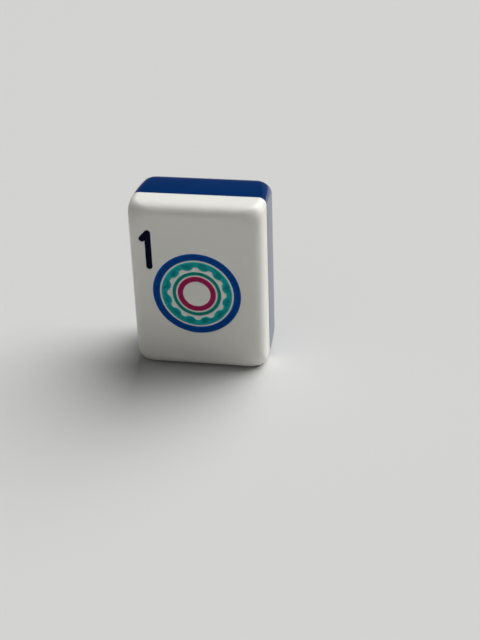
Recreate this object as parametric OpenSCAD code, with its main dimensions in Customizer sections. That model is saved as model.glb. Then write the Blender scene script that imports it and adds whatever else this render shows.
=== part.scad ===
// Mahjong tile: a pale face layer bonded to a blue back layer, with a painted engraving in the face.
// The tile stands on its lower short edge. The face looks along -Y, +X is to the right of someone who
// looks at the face, and the origin is the middle of the edge that it stands on.

/* [Tile] */
// Width across the face
tile_w = 22.4; // [21:0.1:30]
// Height, from the edge that it stands on to the edge above
tile_h = 30; // [28:0.1:40]
// Thickness of the pale face layer
face_t = 5; // [3:0.1:10]
// Thickness of the adhesive film between the layers
bond_t = 0.1; // [0.05:0.01:0.3]
// Thickness of the blue back layer
back_t = 8.1; // [4:0.1:16]

/* [Rounding] */
// Radius of the four edges that run from face to back
corner_r = 2; // [1:0.1:4]
// Radius of the edge all round the face
face_edge_r = 1.7; // [0.5:0.1:2.5]
// Radius of the edge all round the back
back_edge_r = 2; // [0.5:0.1:3.5]

/* [Engraving] */
// Depth of every groove below the face
groove_depth = 0.5; // [0.2:0.05:1.5]
// Depth of the paint's surface below the face
paint_depth = 0.08; // [0.02:0.01:0.15]

/* [Circle] */
// Diameter of the circle, as a share of the width of the flat face
circle_share = 0.78; // [0.6:0.005:0.85]
// How far the middle of the circle lies below the middle of the face
circle_drop = 0.7; // [0:0.1:1.5]
// Inner radius of the blue outer ring, as a share of the circle's radius, like those that follow
outer_ring_inner_share = 0.84; // [0.82:0.005:0.9]
// Radius of the scalloped band
band_share = 0.8; // [0.75:0.005:0.81]
// Radius at which the lobes of the band part
band_inner_share = 0.668; // [0.64:0.002:0.74]
// Radius at the tips of the lobes
lobe_tip_share = 0.6; // [0.57:0.002:0.63]
// Radius of the round end of a lobe
lobe_share = 0.166; // [0.1:0.002:0.19]
// Number of lobes round the band
lobe_count = 12; // [8:1:12]
// Outer radius of the thin inner ring
inner_ring_share = 0.553; // [0.52:0.001:0.56]
// Inner radius of the thin inner ring
inner_ring_inner_share = 0.472; // [0.45:0.002:0.5]
// Outer radius of the centre ring
centre_ring_share = 0.434; // [0.38:0.002:0.44]
// Inner radius of the centre ring
centre_ring_inner_share = 0.311; // [0.2:0.001:0.36]

/* [Numeral] */
// Height of the numeral
numeral_h = 7.1; // [4:0.1:7.5]
// Width of its stroke
stroke_w = 1.05; // [0.5:0.05:1.2]
// Width of the flag, from the middle of the stem to the middle of the flag's tip
flag_w = 0.96; // [0.5:0.02:1.2]
// Height of the flag, from the middle of the stem's end to the middle of the flag's tip
flag_h = 1.05; // [0.6:0.05:2]
// From the left edge of the flat face to the flag
numeral_side_gap = 0.3; // [0:0.05:0.4]
// From the upper edge of the flat face to the numeral
numeral_top_gap = 2.7; // [1:0.1:3]

/* [Hidden] */
$fn = 96;
// Cuts run this far past the surface that they open
overrun = 0.2;
sides = 4;
quarter_turn = 360 / sides;
tile_t = face_t + bond_t + back_t;
// The corners are never sharper than the rounded edges that run into them
outline_r = max(corner_r, face_edge_r, back_edge_r);
// The flat of the face, inside its rounded edge
flat_w = tile_w - 2 * face_edge_r;
flat_h = tile_h - 2 * face_edge_r;
// Radii in the circle, from the outside in
circle_r = circle_share * flat_w / 2;
outer_ring_inner_r = outer_ring_inner_share * circle_r;
band_r = band_share * circle_r;
band_inner_r = band_inner_share * circle_r;
lobe_tip_r = lobe_tip_share * circle_r;
lobe_r = lobe_share * circle_r;
inner_ring_r = inner_ring_share * circle_r;
inner_ring_inner_r = inner_ring_inner_share * circle_r;
centre_ring_r = centre_ring_share * circle_r;
centre_ring_inner_r = centre_ring_inner_share * circle_r;
lobe_pitch = 360 / lobe_count;
// Middles of the ends of the numeral's strokes, from the middle of the face
flag_tip_x = numeral_side_gap + stroke_w / 2 - flat_w / 2;
stem_top = [flag_tip_x + flag_w, flat_h / 2 - numeral_top_gap - stroke_w / 2];
stem_foot = stem_top - [0, numeral_h - stroke_w];
flag_tip = stem_top - [flag_w, flag_h];

// Stands up what is drawn lying on its back, with its base this far above the back of the tile
module stand_up(level) {
    translate([0, tile_t / 2 - level, tile_h / 2])
        rotate([90, 0, 0])
            children();
}

// What a rounding of this radius takes off a square corner, drawn from the middle of the rounding
module corner_waste(radius) {
    difference() {
        square(radius + overrun);
        circle(r = radius);
    }
}

// Section through the rim of a layer, with its upper outer corner rounded off
module rim_section(thick, edge_r) {
    difference() {
        square([outline_r, thick]);
        if (edge_r > 0)
            translate([outline_r - edge_r, thick - edge_r])
                corner_waste(edge_r);
    }
}

// A layer of the tile: a flat core, a straight rim along each side and a turned rim at each corner
module layer_block(thick, edge_r) {
    core = [tile_w - 2 * outline_r, tile_h - 2 * outline_r];
    rim_edge_r = min(edge_r, thick);
    translate([-core.x / 2, -core.y / 2, 0])
        cube([core.x, core.y, thick]);
    for (side = [0 : sides - 1]) {
        out = core[side % 2];
        along = core[(side + 1) % 2];
        rotate(quarter_turn * side)
            translate([out / 2, along / 2, 0]) {
                rotate([90, 0, 0])
                    linear_extrude(along)
                        rim_section(thick, rim_edge_r);
                rotate_extrude(angle = quarter_turn)
                    rim_section(thick, rim_edge_r);
            }
    }
}

module ring(outer_r, inner_r) {
    translate([0, -circle_drop])
        difference() {
            circle(r = outer_r);
            circle(r = inner_r);
        }
}

// Band with a round rim and lobes that point inward, parted by a pale tooth straight above the middle
module scallop_band() {
    translate([0, -circle_drop])
        intersection() {
            circle(r = band_r);
            union() {
                difference() {
                    circle(r = band_r + overrun);
                    circle(r = band_inner_r);
                }
                for (lobe = [0 : lobe_count - 1])
                    rotate(lobe_pitch * (lobe + 1 / 2))
                        translate([0, lobe_tip_r + lobe_r])
                            circle(r = lobe_r);
            }
        }
}

// Stroke with round ends between two points
module stroke(from, to) {
    run = to - from;
    translate(from)
        rotate(atan2(run.y, run.x)) {
            translate([0, -stroke_w / 2])
                square([norm(run), stroke_w]);
            circle(d = stroke_w);
            translate([norm(run), 0])
                circle(d = stroke_w);
        }
}

module numeral() {
    stroke(stem_top, stem_foot);
    stroke(stem_top, flag_tip);
}

module outer_ring() ring(circle_r, outer_ring_inner_r);

module inner_ring() ring(inner_ring_r, inner_ring_inner_r);

module centre_ring() ring(centre_ring_r, centre_ring_inner_r);

// Raises the outline of an engraved figure by this height from the floor of its groove
module from_groove_floor(height) {
    translate([0, 0, face_t - groove_depth])
        linear_extrude(height)
            children();
}

module groove() from_groove_floor(groove_depth + overrun) children();

module paint() stand_up(back_t + bond_t) from_groove_floor(groove_depth - paint_depth) children();

// Sub-parts
module face_layer() {
    color("ivory")
        stand_up(back_t + bond_t)
            difference() {
                layer_block(face_t, face_edge_r);
                groove() outer_ring();
                groove() scallop_band();
                groove() inner_ring();
                groove() centre_ring();
                groove() numeral();
            }
}

module bond_film() {
    color("lightsteelblue")
        stand_up(back_t)
            layer_block(bond_t, 0);
}

module back_layer() {
    color("mediumblue")
        stand_up(back_t)
            mirror([0, 0, 1])
                layer_block(back_t, back_edge_r);
}

module outer_ring_fill() {
    color("navy")
        paint() outer_ring();
}

module scallop_band_fill() {
    color("teal")
        paint() scallop_band();
}

module inner_ring_fill() {
    color("seagreen")
        paint() inner_ring();
}

module centre_ring_fill() {
    color("crimson")
        paint() centre_ring();
}

module numeral_fill() {
    color("midnightblue")
        paint() numeral();
}

face_layer();
bond_film();
back_layer();
outer_ring_fill();
scallop_band_fill();
inner_ring_fill();
centre_ring_fill();
numeral_fill();
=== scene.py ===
"""Dresses the mahjong tile: polished layers, engraved and painted face, pale floor and soft light."""

import math

import bmesh
import bpy
from bpy.props import FloatProperty, FloatVectorProperty, PointerProperty
from mathutils import Matrix, Vector, geometry, kdtree, noise


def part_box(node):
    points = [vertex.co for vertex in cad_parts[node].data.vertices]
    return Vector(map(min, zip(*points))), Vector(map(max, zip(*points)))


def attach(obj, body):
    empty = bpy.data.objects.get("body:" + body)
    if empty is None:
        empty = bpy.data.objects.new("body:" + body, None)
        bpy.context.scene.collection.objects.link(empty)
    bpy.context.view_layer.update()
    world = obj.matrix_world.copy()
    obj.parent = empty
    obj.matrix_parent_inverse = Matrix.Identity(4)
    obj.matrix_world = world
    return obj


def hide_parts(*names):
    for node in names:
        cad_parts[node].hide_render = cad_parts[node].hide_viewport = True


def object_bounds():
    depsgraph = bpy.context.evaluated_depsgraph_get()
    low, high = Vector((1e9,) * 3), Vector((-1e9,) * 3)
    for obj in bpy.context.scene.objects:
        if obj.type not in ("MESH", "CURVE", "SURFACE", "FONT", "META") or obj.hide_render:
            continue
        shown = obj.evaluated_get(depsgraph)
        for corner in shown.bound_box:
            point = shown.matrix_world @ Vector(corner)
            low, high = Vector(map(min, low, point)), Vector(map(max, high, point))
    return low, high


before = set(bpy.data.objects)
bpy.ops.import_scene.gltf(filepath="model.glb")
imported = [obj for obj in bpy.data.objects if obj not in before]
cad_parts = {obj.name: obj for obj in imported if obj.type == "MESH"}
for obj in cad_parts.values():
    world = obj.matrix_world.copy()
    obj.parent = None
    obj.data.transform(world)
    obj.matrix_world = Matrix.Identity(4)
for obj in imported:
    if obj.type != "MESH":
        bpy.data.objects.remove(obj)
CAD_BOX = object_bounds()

bl_info = {
    "name": "Mahjong Tile",
    "version": (1, 0, 0),
    "blender": (4, 5, 0),
    "location": "View3D > Sidebar > Tile",
    "description": "Builds a two-layer mahjong tile with an engraved and painted circle and numeral",
    "category": "Object",
}

MM = 0.001

# Places and sizes that the frame gives, in metres
FACE_Y = CAD_BOX[0].y
TILE_W = CAD_BOX[1].x - CAD_BOX[0].x
TILE_H = CAD_BOX[1].z - CAD_BOX[0].z
TILE_T = CAD_BOX[1].y - CAD_BOX[0].y
SEAM_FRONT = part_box("bond_film")[0].y - FACE_Y
SEAM_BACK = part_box("bond_film")[1].y - FACE_Y
GROOVE_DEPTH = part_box("outer_ring_fill")[1].y - FACE_Y
NUMERAL_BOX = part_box("numeral_fill")


def box_radius(node):
    """Half the width of a round node."""
    low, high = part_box(node)
    return (high.x - low.x) / 2


RADII = {
    node: box_radius(node)
    for node in ("outer_ring_fill", "scallop_band_fill", "inner_ring_fill", "centre_ring_fill")
}
CIRCLE_Z = (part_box("outer_ring_fill")[0].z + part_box("outer_ring_fill")[1].z) / 2

# How finely the meshes are divided
CORNER_STEPS = 16
SIDE_STEPS = 12
EDGE_STEPS = 18
DEPTH_STEPS = 6
LIP_STEPS = 4
LOBES = 12
STEPS_PER_LOBE = 32
CIRCLE_STEPS = LOBES * STEPS_PER_LOBE
PAINT_STEPS = 12
STROKE_STEPS = 24
END_STEPS = 20
FLAT_GRID = 0.9 * MM
FLOOR_STEPS = 96
SHARP_ANGLE = math.radians(40)
# Points closer together than this, in millimetres, are taken as one when a flat is filled
SAME_POINT = 1e-6

# Where the camera stands and looks, and where the light comes from
CAMERA_PLACE = Vector((42.0, -188.4, 117.5)) * MM
CAMERA_HEADING = math.radians(10.86)
CAMERA_DIP = math.radians(30.18)
CAMERA_ROLL = math.radians(-2.05)
KEY_FROM = Vector((0.43, 0.5, 0.75))
FILL_FROM = Vector((-0.25, -0.4, 0.88))


def linear(hex_colour):
    """Turns an sRGB hex colour into linear red, green and blue."""
    parts = [int(hex_colour[i:i + 2], 16) / 255 for i in (1, 3, 5)]
    return [p / 12.92 if p <= 0.04045 else ((p + 0.055) / 1.055) ** 2.4 for p in parts]


def length(name, description, default):
    """A size in metres that the user can change."""
    return FloatProperty(
        name=name, description=description, default=default, min=0, unit="LENGTH", precision=5
    )


def arc(name, description, degrees):
    """An angle that the user can change."""
    return FloatProperty(
        name=name, description=description, default=math.radians(degrees), subtype="ANGLE"
    )


def brightness(name, description, default):
    """The strength of a light that the user can change."""
    return FloatProperty(name=name, description=description, default=default, min=0)


def gentleness(name, description, default):
    """How gently a rounded edge runs out, which the user can change; 1 makes it a quarter of an ellipse."""
    return FloatProperty(name=name, description=description, default=default, min=1)


def colour(name, description, hex_colour):
    """A colour that the user can change."""
    return FloatVectorProperty(
        name=name, description=description, default=linear(hex_colour),
        subtype="COLOR", size=3, min=0, max=1,
    )


class TileForm(bpy.types.PropertyGroup):
    """The rounding of the body."""

    corner_r: length("Corner radius", "Radius of the corners at the seam", 1.3 * MM)
    face_edge_in: length("Face edge width", "Reach of the rounded edge in over the face", 1.8 * MM)
    face_edge_deep: length("Face edge depth", "Reach of the rounded edge back from the face", 3.4 * MM)
    face_edge_ease: gentleness("Face edge ease", "How gently the rounded edge runs out into the face", 1.5)
    face_corner_gain: length("Face corner gain", "Extra corner radius from tumbling at the face", 1.4 * MM)
    back_edge_in: length("Back edge width", "Reach of the rounded edge in over the back", 1.1 * MM)
    back_edge_deep: length("Back edge depth", "Reach of the rounded edge in from the back", 2.3 * MM)
    back_edge_ease: gentleness("Back edge ease", "How gently the rounded edge runs out into the back", 1)
    back_crown: length("Back crown", "How far the blue sides draw in towards the back", 0.12 * MM)
    back_corner_gain: length("Back corner gain", "Extra corner radius from tumbling at the back", 1.35 * MM)
    corner_spread: FloatProperty(
        name="Corner spread", description="Growth of the corner radius per inset of a rounded edge",
        default=0.8, min=0,
    )
    seam_chamfer: length("Seam chamfer", "Broken edge of each layer at the seam", 0.03 * MM)
    film_hollow: length("Film hollow", "How far the edge of the adhesive film draws in", 0.045 * MM)


class TileEngraving(bpy.types.PropertyGroup):
    """The engraved figures and the paint in them."""

    lip_r: length("Lip radius", "Rounding of the upper edge of every groove", 0.08 * MM)
    paint_edge: length("Paint edge", "Depth of the paint where it meets the wall of the groove", 0.08 * MM)
    paint_sag: length("Paint sag", "How much deeper the paint lies in the middle of the groove", 0.14 * MM)
    paint_wobble: length("Paint wobble", "Unevenness of the paint along its edge", 0.02 * MM)
    outer_ring_w: length("Outer ring", "Width of the outer ring", 1.19 * MM)
    band_parting: length("Band parting", "Width of the scalloped band where its lobes part", 0.98 * MM)
    lobe_reach: length("Lobe reach", "How far the lobes reach inward from there", 0.5 * MM)
    lobe_r: length("Lobe radius", "Radius of the round end of a lobe", 1.23 * MM)
    tooth_r: length("Tooth rounding", "Width over which a lobe runs into the next", 0.16 * MM)
    inner_ring_w: length("Inner ring", "Width of the thin inner ring", 0.6 * MM)
    centre_ring_w: length("Centre ring", "Width of the centre ring", 0.91 * MM)
    stroke_w: length("Stroke", "Width of the numeral's stroke", 1.05 * MM)
    flag_h: length("Flag", "Height of the numeral's flag between the middles of its ends", 1.05 * MM)


class TileColours(bpy.types.PropertyGroup):
    """Colours of the materials."""

    face: colour("Face", "Off-white resin of the face", "#ECEBE4")
    face_cloud: colour("Face clouding", "Paler cloud in the face resin", "#F2F1EB")
    back: colour("Back", "Blue resin of the back", "#02336F")
    back_deep: colour("Back, deep", "Darker swirl in the blue resin", "#01295C")
    bond: colour("Bond", "Adhesive in the seam", "#8FA3BE")
    outer_ring: colour("Outer ring", "Blue enamel", "#0457AA")
    outer_ring_deep: colour("Outer ring, pooled", "Blue enamel where it lies thick", "#02408E")
    band: colour("Band", "Teal enamel", "#1FBABB")
    band_deep: colour("Band, pooled", "Teal enamel where it lies thick", "#0D888E")
    inner_ring: colour("Inner ring", "Green enamel", "#1EA79A")
    inner_ring_deep: colour("Inner ring, pooled", "Green enamel where it lies thick", "#11897F")
    centre_ring: colour("Centre ring", "Crimson enamel", "#C22E6C")
    centre_ring_deep: colour("Centre ring, pooled", "Crimson enamel where it lies thick", "#A02155")
    numeral: colour("Numeral", "Navy enamel", "#030A2E")
    numeral_deep: colour("Numeral, pooled", "Navy enamel where it lies thick", "#020720")
    floor: colour("Floor", "Pale paper floor", "#D4D4D2")


class TileStage(bpy.types.PropertyGroup):
    """Floor, light and camera."""

    floor_r: length("Floor radius", "Radius of the round floor", 12.0)
    key_strength: brightness("Key light", "Strength of the soft light from behind", 3.7)
    key_angle: arc("Key width", "Width of the light from behind", 60)
    fill_strength: brightness("Fill light", "Strength of the light from the front", 0.27)
    fill_angle: arc("Fill width", "Width of the light from the front", 90)
    room_strength: brightness("Room light", "Strength of the light from above", 0.01)
    horizon_strength: brightness("Horizon light", "Strength of the light low down", 0.1)
    horizon_foot: arc("Horizon foot", "Height at which the light low down begins to fade", 16.36)
    horizon_top: arc("Horizon top", "Height at which the light low down has faded", 25)
    backdrop_strength: brightness("Backdrop", "Brightness of what the camera sees past the floor", 0.65)
    lens: FloatProperty(
        name="Lens", description="Focal length of the camera in millimetres", default=72.57, unit="CAMERA"
    )


# Meshes


def rounded_outline(half_w, half_h, radius):
    """Points round a rectangle with round corners, anticlockwise from the right side, as (x, z)."""
    arcs = []
    for quarter, (sx, sz) in enumerate(((1, 1), (-1, 1), (-1, -1), (1, -1))):
        middle = Vector((sx * (half_w - radius), sz * (half_h - radius)))
        angles = [math.pi / 2 * (quarter + step / CORNER_STEPS) for step in range(CORNER_STEPS + 1)]
        arcs.append([middle + radius * Vector((math.cos(a), math.sin(a))) for a in angles])
    points = []
    for arc, following in zip(arcs, arcs[1:] + arcs[:1]):
        points += arc
        points += [arc[-1].lerp(following[0], step / SIDE_STEPS) for step in range(1, SIDE_STEPS)]
    return points


def add_ring(bm, points, depth):
    """Adds a closed row of vertices at a depth behind the face, from points about the tile's middle."""
    return [bm.verts.new((p.x, FACE_Y + depth, TILE_H / 2 + p.y)) for p in points]


def bridge(bm, ring, following):
    """Joins two rows of as many vertices with four-sided faces."""
    for i in range(len(ring)):
        bm.faces.new((ring[i - 1], ring[i], following[i], following[i - 1]))


def fill_flat(bm, rings, grid):
    """Fills the flat between rows of vertices, the first one outermost, with a grid of points inside it."""
    verts = [v for ring in rings for v in ring]
    loops = []
    for ring in rings:
        start = loops[-1][-1] + 1 if loops else 0
        loops.append(list(range(start, start + len(ring))))
    flat = [Vector((v.co.x, v.co.z)) / MM for v in verts]
    low = Vector((min(p.x for p in flat), min(p.y for p in flat)))
    high = Vector((max(p.x for p in flat), max(p.y for p in flat)))
    step = grid / MM
    rim = kdtree.KDTree(len(flat))
    for i, p in enumerate(flat):
        rim.insert((*p, 0), i)
    rim.balance()
    inside = []
    for row in range(1, math.ceil((high.y - low.y) / step)):
        for column in range(1, math.ceil((high.x - low.x) / step)):
            p = low + step * Vector((column, row))
            if rim.find((*p, 0))[2] > step / 2:
                inside.append(p)
    omit_holes = 2
    points, _, faces, origins, _, _ = geometry.delaunay_2d_cdt(
        flat + inside, [], loops, omit_holes, SAME_POINT
    )
    y = verts[0].co.y
    made = []
    for point, origin in zip(points, origins):
        kept = [i for i in origin if i < len(verts)]
        made.append(verts[kept[0]] if kept else bm.verts.new((point.x * MM, y, point.y * MM)))
    for face in faces:
        bm.faces.new([made[i] for i in face])


def place(name, bm, material, node):
    """Turns a drawn mesh into a piece that stands for a node of the frame."""
    loose = [v for v in bm.verts if not v.link_faces]
    bmesh.ops.delete(bm, geom=loose, context="VERTS")
    bmesh.ops.recalc_face_normals(bm, faces=bm.faces)
    mesh = bpy.data.meshes.new(name)
    bm.to_mesh(mesh)
    bm.free()
    mesh.materials.append(material)
    mesh.shade_smooth()
    mesh.set_sharp_from_angle(angle=SHARP_ANGLE)
    piece = bpy.data.objects.new(name, mesh)
    bpy.context.collection.objects.link(piece)
    even = piece.modifiers.new("Even normals", "WEIGHTED_NORMAL")
    even.keep_sharp = True
    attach(piece, "root")
    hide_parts(node)
    return piece


def edge_sections(edge_in, edge_deep, ease):
    """Insets and depths along a rounded edge, from the flat at its top to the straight side."""
    angles = [math.pi / 2 * step / EDGE_STEPS for step in range(EDGE_STEPS + 1)]
    return [(edge_in * (1 - math.sin(a)) ** ease, edge_deep * (1 - math.cos(a))) for a in angles]


def body_ring(bm, inset, corner_r, depth):
    """A row of vertices round the body, drawn in by the inset."""
    return add_ring(bm, rounded_outline(TILE_W / 2 - inset, TILE_H / 2 - inset, corner_r), depth)


def layer_rings(bm, edge_in, edge_deep, ease, crown, corner_gain, flat, seam):
    """Rows of vertices round a layer, from its outer flat to its seam, where the corners are sharpest."""
    form = bpy.context.scene.tile_form
    thick = abs(seam - flat)
    side = thick - form.seam_chamfer - edge_deep
    sections = edge_sections(edge_in, edge_deep, ease)
    sections += [(0, edge_deep + side * step / DEPTH_STEPS) for step in range(1, DEPTH_STEPS + 1)]
    sections.append((form.seam_chamfer, thick))
    rings = []
    for inset, deep in sections:
        share = deep / thick
        out = (1 - share) ** 2
        corner_r = form.corner_r + form.corner_spread * inset + corner_gain * out
        rings.append(body_ring(bm, inset + crown * out, corner_r, flat + (seam - flat) * share))
    return rings


def loft(bm, rings):
    """Joins rows of vertices one after another."""
    for ring, following in zip(rings, rings[1:]):
        bridge(bm, ring, following)


# Engraved figures: each gives loops that are functions of how far they move out into the bare face


def about_circle(radius, angle):
    """A point at a clock angle round the circle's middle, from the middle of the tile."""
    return Vector((radius * math.sin(angle), radius * math.cos(angle) + CIRCLE_Z - TILE_H / 2))


def clock_angles():
    """Evenly spaced clock angles."""
    return [2 * math.pi * step / CIRCLE_STEPS for step in range(CIRCLE_STEPS)]


def circle_loop(radius, outward):
    """A round loop; outward is 1 for the outer wall of a groove and -1 for its inner wall."""
    return lambda offset: [about_circle(radius + outward * offset, angle) for angle in clock_angles()]


def ring_loops(node, width):
    """Inner and outer loop of a ring whose outer radius is that of its node."""
    return circle_loop(RADII[node] - width, -1), circle_loop(RADII[node], 1)


def lobed_radius(angle):
    """Inner radius of the scalloped band, with a tooth of bare face straight above the middle."""
    sizes = bpy.context.scene.tile_engraving
    parting_r = RADII["scallop_band_fill"] - sizes.band_parting
    middle_r = parting_r - sizes.lobe_reach + sizes.lobe_r
    pitch = 2 * math.pi / LOBES
    off_axis = angle % pitch - pitch / 2
    under_root = sizes.lobe_r ** 2 - (middle_r * math.sin(off_axis)) ** 2
    if under_root <= 0:
        return parting_r
    lobe = middle_r * math.cos(off_axis) - math.sqrt(under_root)
    blend = max(1 - abs(lobe - parting_r) / sizes.tooth_r, 0)
    return min(lobe, parting_r) - blend ** 2 * sizes.tooth_r / 4


def lobed_loop(offset):
    """Inner wall of the scalloped band, moved square to itself by the offset."""
    points = [about_circle(lobed_radius(angle), angle) for angle in clock_angles()]
    moved = []
    for i, point in enumerate(points):
        along = points[(i + 1) % len(points)] - points[i - 1]
        moved.append(point + offset * Vector((along.y, -along.x)).normalized())
    return moved


def band_loops():
    """Inner and outer loop of the scalloped band."""
    return lobed_loop, circle_loop(RADII["scallop_band_fill"], 1)


def numeral_loop(offset):
    """Outline of the numeral: a stem and a flag with round ends, which share the end at the top."""
    sizes = bpy.context.scene.tile_engraving
    low, high = NUMERAL_BOX
    half = sizes.stroke_w / 2
    top = Vector((high.x - half, high.z - half - TILE_H / 2))
    foot = Vector((top.x, low.z + half - TILE_H / 2))
    tip = Vector((low.x + half, top.y - sizes.flag_h))
    half += offset
    slope = math.atan2(tip.y - top.y, tip.x - top.x)
    flag = Vector((math.cos(slope), math.sin(slope)))
    flag_left = Vector((-flag.y, flag.x))

    def end(middle, start):
        angles = [start + math.pi * step / END_STEPS for step in range(END_STEPS + 1)]
        return [middle + half * Vector((math.cos(a), math.sin(a))) for a in angles]

    # The under side of the flag meets the left side of the stem here
    under = tip + half * flag_left
    corner = under - flag * ((under.x - (top.x - half)) / flag.x)
    # The round top runs from the right side of the stem to the upper side of the flag
    upper = slope - math.pi / 2 + 2 * math.pi
    crown_angles = [upper * step / END_STEPS for step in range(END_STEPS + 1)]
    crown = [top + half * Vector((math.cos(a), math.sin(a))) for a in crown_angles]
    tip_end = end(tip, upper)
    foot_end = end(foot, math.pi)
    runs = [(crown, tip_end[0]), (tip_end, corner), ([corner], foot_end[0]), (foot_end, crown[0])]
    points = []
    for run, following in runs:
        points += run
        points += [run[-1].lerp(following, step / STROKE_STEPS) for step in range(1, STROKE_STEPS)]
    return points


def figure_loops():
    """The ring-shaped figures from the outside in, as inner and outer loops."""
    sizes = bpy.context.scene.tile_engraving
    return {
        "outer_ring_fill": ring_loops("outer_ring_fill", sizes.outer_ring_w),
        "scallop_band_fill": band_loops(),
        "inner_ring_fill": ring_loops("inner_ring_fill", sizes.inner_ring_w),
        "centre_ring_fill": ring_loops("centre_ring_fill", sizes.centre_ring_w),
    }


def cut_wall(bm, loop):
    """Draws one wall of a groove, from its rounded lip in the face to the floor, and returns both rows."""
    lip_r = bpy.context.scene.tile_engraving.lip_r
    rings = []
    for step in range(LIP_STEPS + 1):
        angle = math.pi / 2 * step / LIP_STEPS
        rings.append(add_ring(bm, loop(lip_r * (1 - math.sin(angle))), lip_r * (1 - math.cos(angle))))
    rings.append(add_ring(bm, loop(0), GROOVE_DEPTH))
    loft(bm, rings)
    return rings[0], rings[-1]


def pool_share(across):
    """How far the paint has pooled, from none at the walls of a groove to all in the middle."""
    return 4 * across * (1 - across)


def paint_depth(point, across):
    """Depth of settled paint: highest at the walls, with slow unevenness along them."""
    sizes = bpy.context.scene.tile_engraving
    wobble = noise.noise(Vector((point.x, point.y, 0)) / MM) * sizes.paint_wobble
    return sizes.paint_edge + wobble + sizes.paint_sag * (1 - abs(2 * across - 1) ** 3)


# Materials


def add(tree, kind, inputs, **settings):
    """Adds a node with its settings, and fills its inputs with values or with links from other nodes."""
    made = tree.nodes.new(kind)
    for name, value in settings.items():
        setattr(made, name, value)
    for name, value in inputs.items():
        if isinstance(value, bpy.types.NodeSocket):
            tree.links.new(value, made.inputs[name])
        else:
            made.inputs[name].default_value = value
    return made


def new_material(name):
    """An empty material with its tree, its object coordinates and its output."""
    material = bpy.data.materials.new(name)
    material.use_nodes = True
    tree = material.node_tree
    tree.nodes.clear()
    coordinates = add(tree, "ShaderNodeTexCoord", {})
    place_in_mm = add(
        tree, "ShaderNodeVectorMath", {0: coordinates.outputs["Object"], "Scale": 1 / MM},
        operation="SCALE",
    )
    return material, tree, place_in_mm.outputs["Vector"]


def finish_material(tree, shader):
    """Links the shader to the material's output."""
    add(tree, "ShaderNodeOutputMaterial", {"Surface": shader.outputs["BSDF"]})


def rgba(values):
    """A colour with full alpha."""
    return (*values, 1)


def polished_white_resin():
    """Cast acrylic, tumbled and polished: faintly clouded and softly glossy, with some light sinking in."""
    shades = bpy.context.scene.tile_colours
    material, tree, at = new_material("Polished white acrylic")
    cloud_mm, ripple_mm, grain_mm = 6.0, 3.0, 0.35
    cloud = add(tree, "ShaderNodeTexNoise", {"Vector": at, "Scale": 1 / cloud_mm, "Detail": 3})
    tint = add(
        tree, "ShaderNodeMix", {0: cloud.outputs["Fac"], 6: rgba(shades.face), 7: rgba(shades.face_cloud)},
        data_type="RGBA",
    )
    # Polishing leaves a slow ripple and a fine grain, drawn coarser than its real 0.05 mm to show
    ripple = add(tree, "ShaderNodeTexNoise", {"Vector": at, "Scale": 1 / ripple_mm, "Detail": 1})
    grain = add(tree, "ShaderNodeTexNoise", {"Vector": at, "Scale": 1 / grain_mm, "Detail": 2})
    gloss = add(
        tree, "ShaderNodeMapRange", {"Value": grain.outputs["Fac"], "To Min": 0.32, "To Max": 0.4}
    )
    waves = add(
        tree, "ShaderNodeBump", {"Height": ripple.outputs["Fac"], "Strength": 0.25, "Distance": 0.01 * MM}
    )
    shader = add(
        tree, "ShaderNodeBsdfPrincipled",
        {
            "Base Color": tint.outputs[2], "Roughness": gloss.outputs["Result"], "IOR": 1.49,
            "Specular IOR Level": 0.35, "Normal": waves.outputs["Normal"],
            "Subsurface Weight": 0.25, "Subsurface Scale": 0.8 * MM, "Subsurface Radius": (1.0, 0.95, 0.85),
        },
    )
    finish_material(tree, shader)
    return material


def polished_blue_resin():
    """Cast acrylic dyed through and polished: deep cobalt, sharp reflections and a few dust specks."""
    shades = bpy.context.scene.tile_colours
    material, tree, at = new_material("Polished blue acrylic")
    swirl_mm, ripple_mm, dust_gap_mm = 7.0, 4.0, 1.6
    swirl = add(
        tree, "ShaderNodeTexNoise", {"Vector": at, "Scale": 1 / swirl_mm, "Detail": 2, "Distortion": 0.6}
    )
    tint = add(
        tree, "ShaderNodeMix", {0: swirl.outputs["Fac"], 6: rgba(shades.back), 7: rgba(shades.back_deep)},
        data_type="RGBA",
    )
    # Dust lies in specks of about 0.05 mm, each somewhere in its own small cell
    dust = add(tree, "ShaderNodeTexVoronoi", {"Vector": at, "Scale": 1 / dust_gap_mm})
    speck = add(
        tree, "ShaderNodeMapRange",
        {"Value": dust.outputs["Distance"], "From Min": 0.025, "From Max": 0.035, "To Min": 1, "To Max": 0},
    )
    gloss = add(
        tree, "ShaderNodeMapRange", {"Value": speck.outputs["Result"], "To Min": 0.07, "To Max": 0.6}
    )
    ripple = add(tree, "ShaderNodeTexNoise", {"Vector": at, "Scale": 1 / ripple_mm, "Detail": 1})
    waves = add(
        tree, "ShaderNodeBump", {"Height": ripple.outputs["Fac"], "Strength": 0.2, "Distance": 0.01 * MM}
    )
    shader = add(
        tree, "ShaderNodeBsdfPrincipled",
        {
            "Base Color": tint.outputs[2], "Roughness": gloss.outputs["Result"], "IOR": 1.49,
            "Normal": waves.outputs["Normal"],
        },
    )
    finish_material(tree, shader)
    return material


def cured_adhesive():
    """Solvent cement squeezed thin and polished flush: a faint blue-grey line between the layers."""
    shades = bpy.context.scene.tile_colours
    material, tree, at = new_material("Cured clear cement")
    bubble_mm = 0.4
    bubbles = add(tree, "ShaderNodeTexNoise", {"Vector": at, "Scale": 1 / bubble_mm, "Detail": 2})
    gloss = add(
        tree, "ShaderNodeMapRange", {"Value": bubbles.outputs["Fac"], "To Min": 0.15, "To Max": 0.4}
    )
    shader = add(
        tree, "ShaderNodeBsdfPrincipled",
        {"Base Color": rgba(shades.bond), "Roughness": gloss.outputs["Result"], "IOR": 1.5},
    )
    finish_material(tree, shader)
    return material


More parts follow.
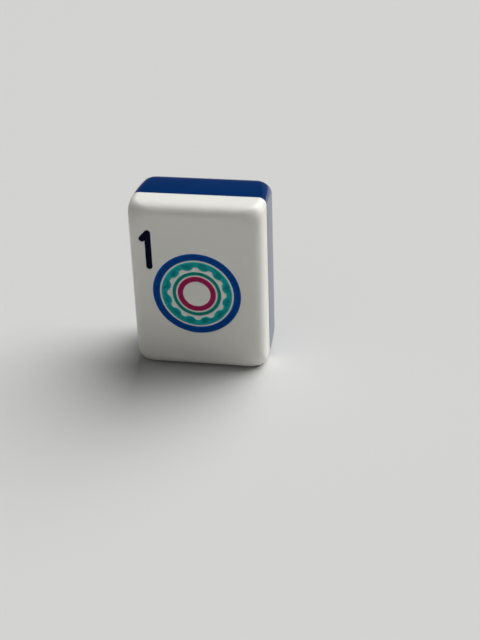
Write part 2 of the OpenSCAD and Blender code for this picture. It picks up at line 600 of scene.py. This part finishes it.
def settled_enamel(name, thin, pooled):
    """Enamel paint wiped into a groove: darker where it pooled, mottled by the brush, dried dull."""
    material, tree, at = new_material(name)
    mottle_mm, pit_mm = 0.7, 0.2
    mottle = add(tree, "ShaderNodeTexNoise", {"Vector": at, "Scale": 1 / mottle_mm, "Detail": 3})
    pool = add(tree, "ShaderNodeAttribute", {}, attribute_name="pool")
    thick = add(
        tree, "ShaderNodeMath", {0: mottle.outputs["Fac"], 1: pool.outputs["Fac"]}, operation="MULTIPLY"
    )
    depth = add(
        tree, "ShaderNodeMapRange", {"Value": thick.outputs["Value"], "From Min": 0.15, "From Max": 0.5}
    )
    tint = add(
        tree, "ShaderNodeMix", {0: depth.outputs["Result"], 6: rgba(thin), 7: rgba(pooled)},
        data_type="RGBA",
    )
    pits = add(tree, "ShaderNodeTexNoise", {"Vector": at, "Scale": 1 / pit_mm, "Detail": 2})
    gloss = add(
        tree, "ShaderNodeMapRange", {"Value": mottle.outputs["Fac"], "To Min": 0.4, "To Max": 0.6}
    )
    skin = add(
        tree, "ShaderNodeBump", {"Height": pits.outputs["Fac"], "Strength": 0.4, "Distance": 0.01 * MM}
    )
    shader = add(
        tree, "ShaderNodeBsdfPrincipled",
        {
            "Base Color": tint.outputs[2], "Roughness": gloss.outputs["Result"], "IOR": 1.5,
            "Specular IOR Level": 0.05, "Normal": skin.outputs["Normal"],
        },
    )
    finish_material(tree, shader)
    return material


def matt_paper():
    """Uncoated card: pale, without gloss, with a faint tooth of fibres."""
    shades = bpy.context.scene.tile_colours
    material, tree, at = new_material("Uncoated card")
    fibre_mm = 0.6
    fibres = add(tree, "ShaderNodeTexNoise", {"Vector": at, "Scale": 1 / fibre_mm, "Detail": 3})
    tooth = add(
        tree, "ShaderNodeBump", {"Height": fibres.outputs["Fac"], "Strength": 0.1, "Distance": 0.02 * MM}
    )
    shader = add(
        tree, "ShaderNodeBsdfPrincipled",
        {
            "Base Color": rgba(shades.floor), "Roughness": 0.9, "Specular IOR Level": 0.2,
            "Normal": tooth.outputs["Normal"],
        },
    )
    finish_material(tree, shader)
    return material


# Operators


class TILE_OT_face_layer(bpy.types.Operator):
    """Builds the pale layer with its rounded edge and engraved face"""

    bl_idname = "tile.face_layer"
    bl_label = "Face Layer"

    def execute(self, context):
        form = context.scene.tile_form
        bm = bmesh.new()
        rings = layer_rings(
            bm, form.face_edge_in, form.face_edge_deep, form.face_edge_ease, 0, form.face_corner_gain,
            0, SEAM_FRONT,
        )
        loft(bm, rings)
        fill_flat(bm, rings[-1:], FLAT_GRID)
        flag_lip, flag_floor = cut_wall(bm, numeral_loop)
        fill_flat(bm, [flag_floor], FLAT_GRID)
        land = [rings[0], flag_lip]
        for inner, outer in figure_loops().values():
            outer_lip, outer_floor = cut_wall(bm, outer)
            inner_lip, inner_floor = cut_wall(bm, inner)
            bridge(bm, outer_floor, inner_floor)
            if len(land) > 1:
                fill_flat(bm, land + [outer_lip], FLAT_GRID)
            else:
                bridge(bm, land[0], outer_lip)
            land = [inner_lip]
        fill_flat(bm, land, FLAT_GRID)
        place("face_slab", bm, polished_white_resin(), "face_layer")
        return {"FINISHED"}


class TILE_OT_back_layer(bpy.types.Operator):
    """Builds the blue layer with its rounded edge"""

    bl_idname = "tile.back_layer"
    bl_label = "Back Layer"

    def execute(self, context):
        form = context.scene.tile_form
        bm = bmesh.new()
        rings = layer_rings(
            bm, form.back_edge_in, form.back_edge_deep, form.back_edge_ease, form.back_crown,
            form.back_corner_gain, TILE_T, SEAM_BACK,
        )
        loft(bm, rings)
        fill_flat(bm, rings[:1], FLAT_GRID)
        fill_flat(bm, rings[-1:], FLAT_GRID)
        place("back_slab", bm, polished_blue_resin(), "back_layer")
        return {"FINISHED"}


class TILE_OT_bond_film(bpy.types.Operator):
    """Builds the film of adhesive between the layers"""

    bl_idname = "tile.bond_film"
    bl_label = "Bond Film"

    def execute(self, context):
        form = context.scene.tile_form
        bm = bmesh.new()
        rings = [
            body_ring(bm, form.seam_chamfer, form.corner_r, SEAM_FRONT),
            body_ring(bm, form.film_hollow, form.corner_r, (SEAM_FRONT + SEAM_BACK) / 2),
            body_ring(bm, form.seam_chamfer, form.corner_r, SEAM_BACK),
        ]
        loft(bm, rings)
        fill_flat(bm, rings[:1], FLAT_GRID)
        fill_flat(bm, rings[-1:], FLAT_GRID)
        place("seam_film", bm, cured_adhesive(), "bond_film")
        return {"FINISHED"}


class TILE_OT_ring_paints(bpy.types.Operator):
    """Builds the paint in the rings and the scalloped band of the circle"""

    bl_idname = "tile.ring_paints"
    bl_label = "Ring Paints"

    def execute(self, context):
        shades = context.scene.tile_colours
        finishes = {
            "outer_ring_fill": ("Blue enamel", "blue_paint", shades.outer_ring, shades.outer_ring_deep),
            "scallop_band_fill": ("Teal enamel", "teal_paint", shades.band, shades.band_deep),
            "inner_ring_fill": ("Green enamel", "green_paint", shades.inner_ring, shades.inner_ring_deep),
            "centre_ring_fill": (
                "Crimson enamel", "crimson_paint", shades.centre_ring, shades.centre_ring_deep,
            ),
        }
        for node, (inner, outer) in figure_loops().items():
            finish, slot, thin, pooled = finishes[node]
            bm = bmesh.new()
            pool = bm.verts.layers.float.new("pool")
            rings = [add_ring(bm, inner(0), GROOVE_DEPTH)]
            walls = list(zip(inner(0), outer(0)))
            widest = max((b - a).length for a, b in walls)
            for step in range(PAINT_STEPS + 1):
                across = step / PAINT_STEPS
                ring = add_ring(bm, [a.lerp(b, across) for a, b in walls], 0)
                for vert, (a, b) in zip(ring, walls):
                    vert.co.y += paint_depth(a.lerp(b, across), across)
                    vert[pool] = pool_share(across) * (b - a).length / widest
                rings.append(ring)
            rings.append(add_ring(bm, outer(0), GROOVE_DEPTH))
            loft(bm, rings + rings[:1])
            place(node.replace("_fill", "_paint"), bm, settled_enamel(finish, thin, pooled), node)
        return {"FINISHED"}


class TILE_OT_numeral_paint(bpy.types.Operator):
    """Builds the paint in the numeral"""

    bl_idname = "tile.numeral_paint"
    bl_label = "Numeral Paint"

    def execute(self, context):
        shades = context.scene.tile_colours
        half = context.scene.tile_engraving.stroke_w / 2
        bm = bmesh.new()
        pool = bm.verts.layers.float.new("pool")
        rings = [add_ring(bm, numeral_loop(0), GROOVE_DEPTH)]
        for step in range(PAINT_STEPS // 2):
            across = step / PAINT_STEPS
            points = numeral_loop(-2 * across * half)
            ring = add_ring(bm, points, 0)
            for vert, point in zip(ring, points):
                vert.co.y += paint_depth(point, across)
                vert[pool] = pool_share(across)
            rings.append(ring)
        loft(bm, rings)
        fill_flat(bm, rings[:1], FLAT_GRID)
        bm.faces.new(rings[-1])
        enamel = settled_enamel("Navy enamel", shades.numeral, shades.numeral_deep)
        place("numeral_paint", bm, enamel, "numeral_fill")
        return {"FINISHED"}


class TILE_OT_stage(bpy.types.Operator):
    """Builds the floor, the light and the camera"""

    bl_idname = "tile.stage"
    bl_label = "Stage"

    def execute(self, context):
        scene = context.scene
        sizes = scene.tile_stage
        scene.view_settings.view_transform = "Standard"
        bm = bmesh.new()
        bmesh.ops.create_circle(bm, cap_ends=True, segments=FLOOR_STEPS, radius=sizes.floor_r)
        mesh = bpy.data.meshes.new("floor")
        bm.to_mesh(mesh)
        bm.free()
        mesh.materials.append(matt_paper())
        floor = bpy.data.objects.new("floor", mesh)
        scene.collection.objects.link(floor)
        lamps = (
            ("Key", sizes.key_strength, sizes.key_angle, KEY_FROM),
            ("Fill", sizes.fill_strength, sizes.fill_angle, FILL_FROM),
        )
        for name, strength, angle, origin in lamps:
            lamp = bpy.data.lights.new(name, "SUN")
            lamp.energy = strength
            lamp.angle = angle
            light = bpy.data.objects.new(name, lamp)
            light.rotation_mode = "QUATERNION"
            light.rotation_quaternion = origin.to_track_quat("Z", "Y")
            scene.collection.objects.link(light)
        world = bpy.data.worlds.new("Studio")
        world.use_nodes = True
        tree = world.node_tree
        tree.nodes.clear()
        sky = add(tree, "ShaderNodeTexCoord", {})
        height = add(tree, "ShaderNodeSeparateXYZ", {"Vector": sky.outputs["Generated"]})
        glow = add(
            tree, "ShaderNodeMapRange",
            {
                "Value": height.outputs["Z"],
                "From Min": math.sin(sizes.horizon_foot), "From Max": math.sin(sizes.horizon_top),
                "To Min": sizes.horizon_strength, "To Max": sizes.room_strength,
            },
        )
        # The camera sees a backdrop as pale as the floor, which lights nothing
        sight = add(tree, "ShaderNodeLightPath", {})
        level = add(
            tree, "ShaderNodeMix",
            {0: sight.outputs["Is Camera Ray"], 2: glow.outputs["Result"], 3: sizes.backdrop_strength},
        )
        background = add(
            tree, "ShaderNodeBackground", {"Color": (1, 1, 1, 1), "Strength": level.outputs[0]}
        )
        add(tree, "ShaderNodeOutputWorld", {"Surface": background.outputs["Background"]})
        scene.world = world
        lens = bpy.data.cameras.new("Camera")
        lens.lens = sizes.lens
        lens.clip_start = MM
        lens.clip_end = 2 * sizes.floor_r
        camera = bpy.data.objects.new("Camera", lens)
        turn = (
            Matrix.Rotation(CAMERA_HEADING, 4, "Z")
            @ Matrix.Rotation(math.pi / 2 - CAMERA_DIP, 4, "X")
            @ Matrix.Rotation(CAMERA_ROLL, 4, "Z")
        )
        camera.matrix_world = Matrix.Translation(CAMERA_PLACE) @ turn
        scene.collection.objects.link(camera)
        scene.camera = camera
        return {"FINISHED"}


class TILE_PT_panel(bpy.types.Panel):
    """Lists the pieces of the tile"""

    bl_idname = "TILE_PT_panel"
    bl_label = "Mahjong Tile"
    bl_space_type = "VIEW_3D"
    bl_region_type = "UI"
    bl_category = "Tile"

    def draw(self, context):
        for operator in OPERATORS:
            self.layout.operator(operator.bl_idname)
        for scene_name, group in GROUPS.items():
            settings = getattr(context.scene, scene_name)
            for name in group.__annotations__:
                self.layout.prop(settings, name)


OPERATORS = (
    TILE_OT_stage,
    TILE_OT_face_layer,
    TILE_OT_back_layer,
    TILE_OT_bond_film,
    TILE_OT_ring_paints,
    TILE_OT_numeral_paint,
)
GROUPS = {
    "tile_form": TileForm,
    "tile_engraving": TileEngraving,
    "tile_colours": TileColours,
    "tile_stage": TileStage,
}


def register():
    """Adds the settings, the operators and the panel."""
    for group in GROUPS.values():
        bpy.utils.register_class(group)
    for name, group in GROUPS.items():
        setattr(bpy.types.Scene, name, PointerProperty(type=group))
    for operator in OPERATORS:
        bpy.utils.register_class(operator)
    bpy.utils.register_class(TILE_PT_panel)


def unregister():
    """Takes them out again."""
    bpy.utils.unregister_class(TILE_PT_panel)
    for operator in reversed(OPERATORS):
        bpy.utils.unregister_class(operator)
    for name, group in GROUPS.items():
        delattr(bpy.types.Scene, name)
        bpy.utils.unregister_class(group)


def main():
    """Builds the tile."""
    register()
    bpy.ops.tile.stage()
    bpy.ops.tile.face_layer()
    bpy.ops.tile.back_layer()
    bpy.ops.tile.bond_film()
    bpy.ops.tile.ring_paints()
    bpy.ops.tile.numeral_paint()


if __name__ == "__main__":
    main()
